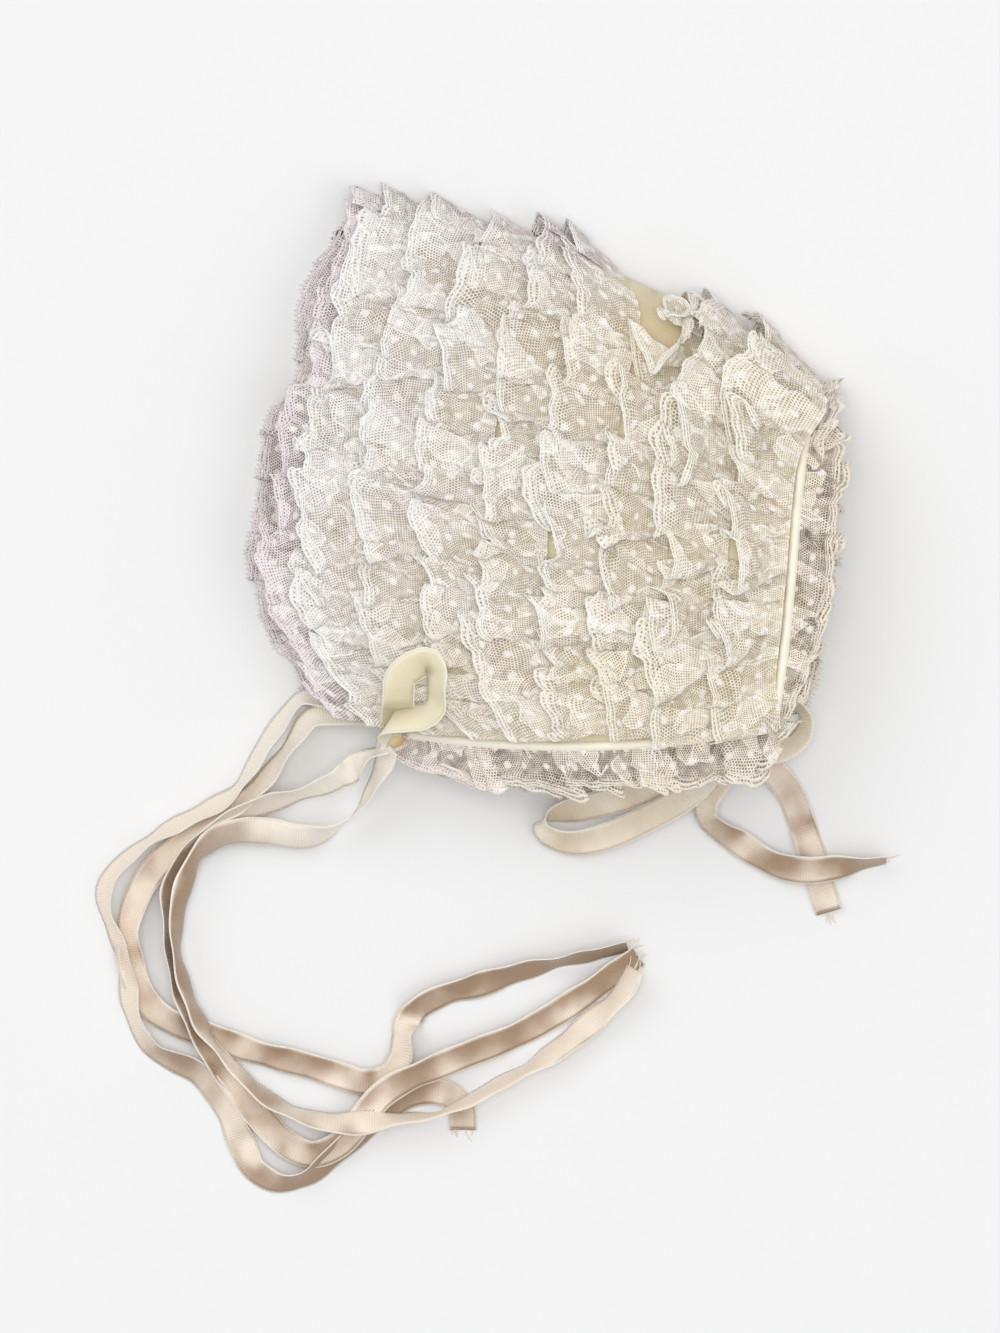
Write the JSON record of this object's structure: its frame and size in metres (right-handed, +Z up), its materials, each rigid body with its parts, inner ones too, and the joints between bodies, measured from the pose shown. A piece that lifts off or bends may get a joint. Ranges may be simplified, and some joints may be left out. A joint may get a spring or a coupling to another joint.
{
  "type": "baby bonnet",
  "caption": "Baby bonnet of cream silk covered with gathered dotted-net lace ruffles, with corded piping, a satin loop, a nape bow and long ribbon ties, lying on its side.",
  "frame": {"origin": "middle of the bonnet's box, without its free ribbons, at the surface that it lies on", "axes": "+Z up from the surface; the face opening looks along -X, the neck opening along -Y, the top fold is at +Y and the back seam at +X"},
  "size_m": [0.2392, 0.3015, 0.0471],
  "materials": {
    "silk": "cream silk, soft sheen, slightly yellowed",
    "net_lace": "gathered cotton net lace with woven dots and corded scalloped edge, cream white",
    "edging_lace": "the same dotted net lace standing free, slightly mauve grey",
    "piping": "corded piping covered in ivory silk",
    "satin": "pale yellow satin ribbon",
    "ribbon": "champagne satin ribbon with fine cross ribs and lighter edges"
  },
  "bodies": {
    "root": {"hood": "silk", "back_panel": "silk", "back_piping": "piping", "neck_piping": "piping", "lace_row_1": "net_lace", "lace_row_1_under": "net_lace", "lace_row_2": "net_lace", "lace_row_2_under": "net_lace", "lace_row_3": "net_lace", "lace_row_3_under": "net_lace", "lace_row_4": "net_lace", "lace_row_4_under": "net_lace", "lace_row_5": "net_lace", "lace_row_5_under": "net_lace", "lace_row_6": "net_lace", "lace_row_6_under": "net_lace", "lace_row_7": "net_lace", "lace_row_7_under": "net_lace", "lace_row_8": "net_lace", "lace_row_8_under": "net_lace", "face_ruffle": "edging_lace", "face_ruffle_under": "edging_lace", "back_ruffle": "edging_lace", "back_ruffle_under": "edging_lace", "neck_ruffle": "edging_lace", "neck_ruffle_under": "edging_lace", "rosette_loop": "satin", "rosette_knot": "satin", "nape_bow_knot": "ribbon", "nape_bow_loop_left": "ribbon", "nape_bow_loop_right": "ribbon", "chin_tie_far_1": "ribbon", "chin_tie_far_2": "ribbon", "chin_tie_near_1": "ribbon", "chin_tie_near_2": "ribbon", "nape_tail_1": "ribbon", "nape_tail_2": "ribbon"}
  },
  "joints": []
}
